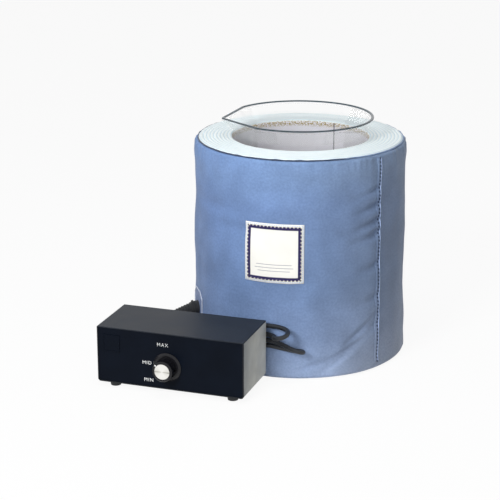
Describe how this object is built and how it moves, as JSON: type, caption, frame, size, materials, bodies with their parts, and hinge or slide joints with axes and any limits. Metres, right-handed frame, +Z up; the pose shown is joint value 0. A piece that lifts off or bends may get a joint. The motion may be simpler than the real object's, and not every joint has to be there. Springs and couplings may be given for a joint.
{
  "type": "beaker heating mantle",
  "caption": "Soft cylindrical heating mantle holding a spouted glass beaker, joined by a lead to a box controller with a dial and a mains lead.",
  "frame": {"origin": "where the mantle's axis meets the floor, on the flat underside", "axes": "+Z up along the mantle and the beaker; -Y is the front, where the controller stands on the left"},
  "size_m": [0.3921, 0.3507, 0.3039],
  "materials": {
    "badge_plate": "blank black square",
    "base_cover": "coated woven glass cloth",
    "base_insulation": "ceramic fibre board",
    "beaker": "clear borosilicate glass, fire polished",
    "board_standoffs": "turned brass",
    "case_body": "black fine textured paint",
    "case_lid": "black fine textured paint",
    "choke": "enamelled copper winding",
    "circuit_board": "glass epoxy laminate",
    "dial_control": "plated shell",
    "dial_nut": "nickel plated",
    "dial_shaft": "turned",
    "film_capacitor": "moulded yellow",
    "foot_front_left": "black rubber",
    "foot_front_right": "black rubber",
    "foot_rear_left": "black rubber",
    "foot_rear_right": "black rubber",
    "foot_screws": "zinc plated steel",
    "front_panel": "black satin",
    "fuse": "glass tube and spring clips",
    "heat_sink": "extruded",
    "heater_cord": "black flexible lead",
    "heater_elbow": "moulded black",
    "heater_liner": "knitted glass yarn",
    "heating_tape": "woven glass tape with resistance wire",
    "inlet_patch": "coated cloth patch with pale piping",
    "inlet_socket": "moulded black",
    "knob_body": "moulded black, fluted",
    "knob_cap": "spun aluminium",
    "knob_screw": "blackened steel",
    "label_field": "blank woven field with a sewn border",
    "mains_coil": "black flexible lead, coiled",
    "mains_cord": "black flexible lead",
    "mains_elbow": "moulded black",
    "mains_plug": "moulded black",
    "mantle_plug": "moulded black, ribbed",
    "plug_lead": "black flexible lead",
    "plug_pins": "nickel plated brass",
    "rear_panel": "black fine textured paint",
    "side_cover": "coated woven glass cloth, slate blue",
    "side_insulation": "ceramic fibre blanket",
    "tape_leads": "glass sleeved wire",
    "terminal_block": "moulded green",
    "top_cover": "pale woven glass cloth, ring stitched",
    "top_pad": "ceramic fibre blanket",
    "top_piping": "cloth piping",
    "triac": "moulded case on a metal tab"
  },
  "bodies": {
    "set": {"badge_plate": "badge_plate", "base_cover": "base_cover", "base_insulation": "base_insulation", "beaker": "beaker", "board_standoffs": "board_standoffs", "case_body": "case_body", "case_lid": "case_lid", "choke": "choke", "circuit_board": "circuit_board", "dial_control": "dial_control", "dial_nut": "dial_nut", "film_capacitor": "film_capacitor", "foot_front_left": "foot_front_left", "foot_front_right": "foot_front_right", "foot_rear_left": "foot_rear_left", "foot_rear_right": "foot_rear_right", "foot_screws": "foot_screws", "front_panel": "front_panel", "fuse": "fuse", "heat_sink": "heat_sink", "heater_cord": "heater_cord", "heater_elbow": "heater_elbow", "heater_liner": "heater_liner", "heating_tape": "heating_tape", "inlet_patch": "inlet_patch", "inlet_socket": "inlet_socket", "label_field": "label_field", "mains_coil": "mains_coil", "mains_cord": "mains_cord", "mains_elbow": "mains_elbow", "mains_plug": "mains_plug", "mantle_plug": "mantle_plug", "plug_lead": "plug_lead", "plug_pins": "plug_pins", "rear_panel": "rear_panel", "side_cover": "side_cover", "side_insulation": "side_insulation", "tape_leads": "tape_leads", "terminal_block": "terminal_block", "top_cover": "top_cover", "top_pad": "top_pad", "top_piping": "top_piping", "triac": "triac"},
    "dial": {"knob_body": "knob_body", "knob_cap": "knob_cap", "knob_screw": "knob_screw", "dial_shaft": "dial_shaft"}
  },
  "joints": [
    {"name": "dial_turn", "type": "hinge", "parent": "set", "child": "dial", "pos_m": [-0.16329, -0.1839, 0.0357], "axis": [0.3223, 0.9466, 0], "range_deg": [-84, 51]}
  ]
}
